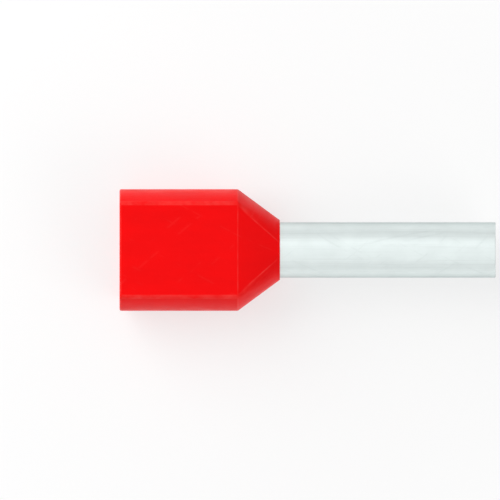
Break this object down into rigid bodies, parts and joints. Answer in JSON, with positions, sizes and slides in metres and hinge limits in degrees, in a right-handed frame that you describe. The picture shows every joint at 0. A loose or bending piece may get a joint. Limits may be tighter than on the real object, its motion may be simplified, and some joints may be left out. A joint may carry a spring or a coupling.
{
  "type": "twin wire ferrule",
  "caption": "Insulated twin wire ferrule: a tinned copper crimp sleeve with a flared mouth, in a red flat-sided plastic collar that takes wires side by side.",
  "frame": {"origin": "on the sleeve's axis, at the collar's front face, where the bare sleeve starts", "axes": "+X along the sleeve towards its tip, +Y the wide way of the flat-sided barrel, +Z normal to its flat sides and up as it lies"},
  "size_m": [0.017, 0.0054, 0.0038],
  "materials": {
    "red_plastic": "satin",
    "tinned_copper": "satin"
  },
  "bodies": {
    "root": {"collar": "red_plastic", "sleeve": "tinned_copper"}
  },
  "joints": []
}
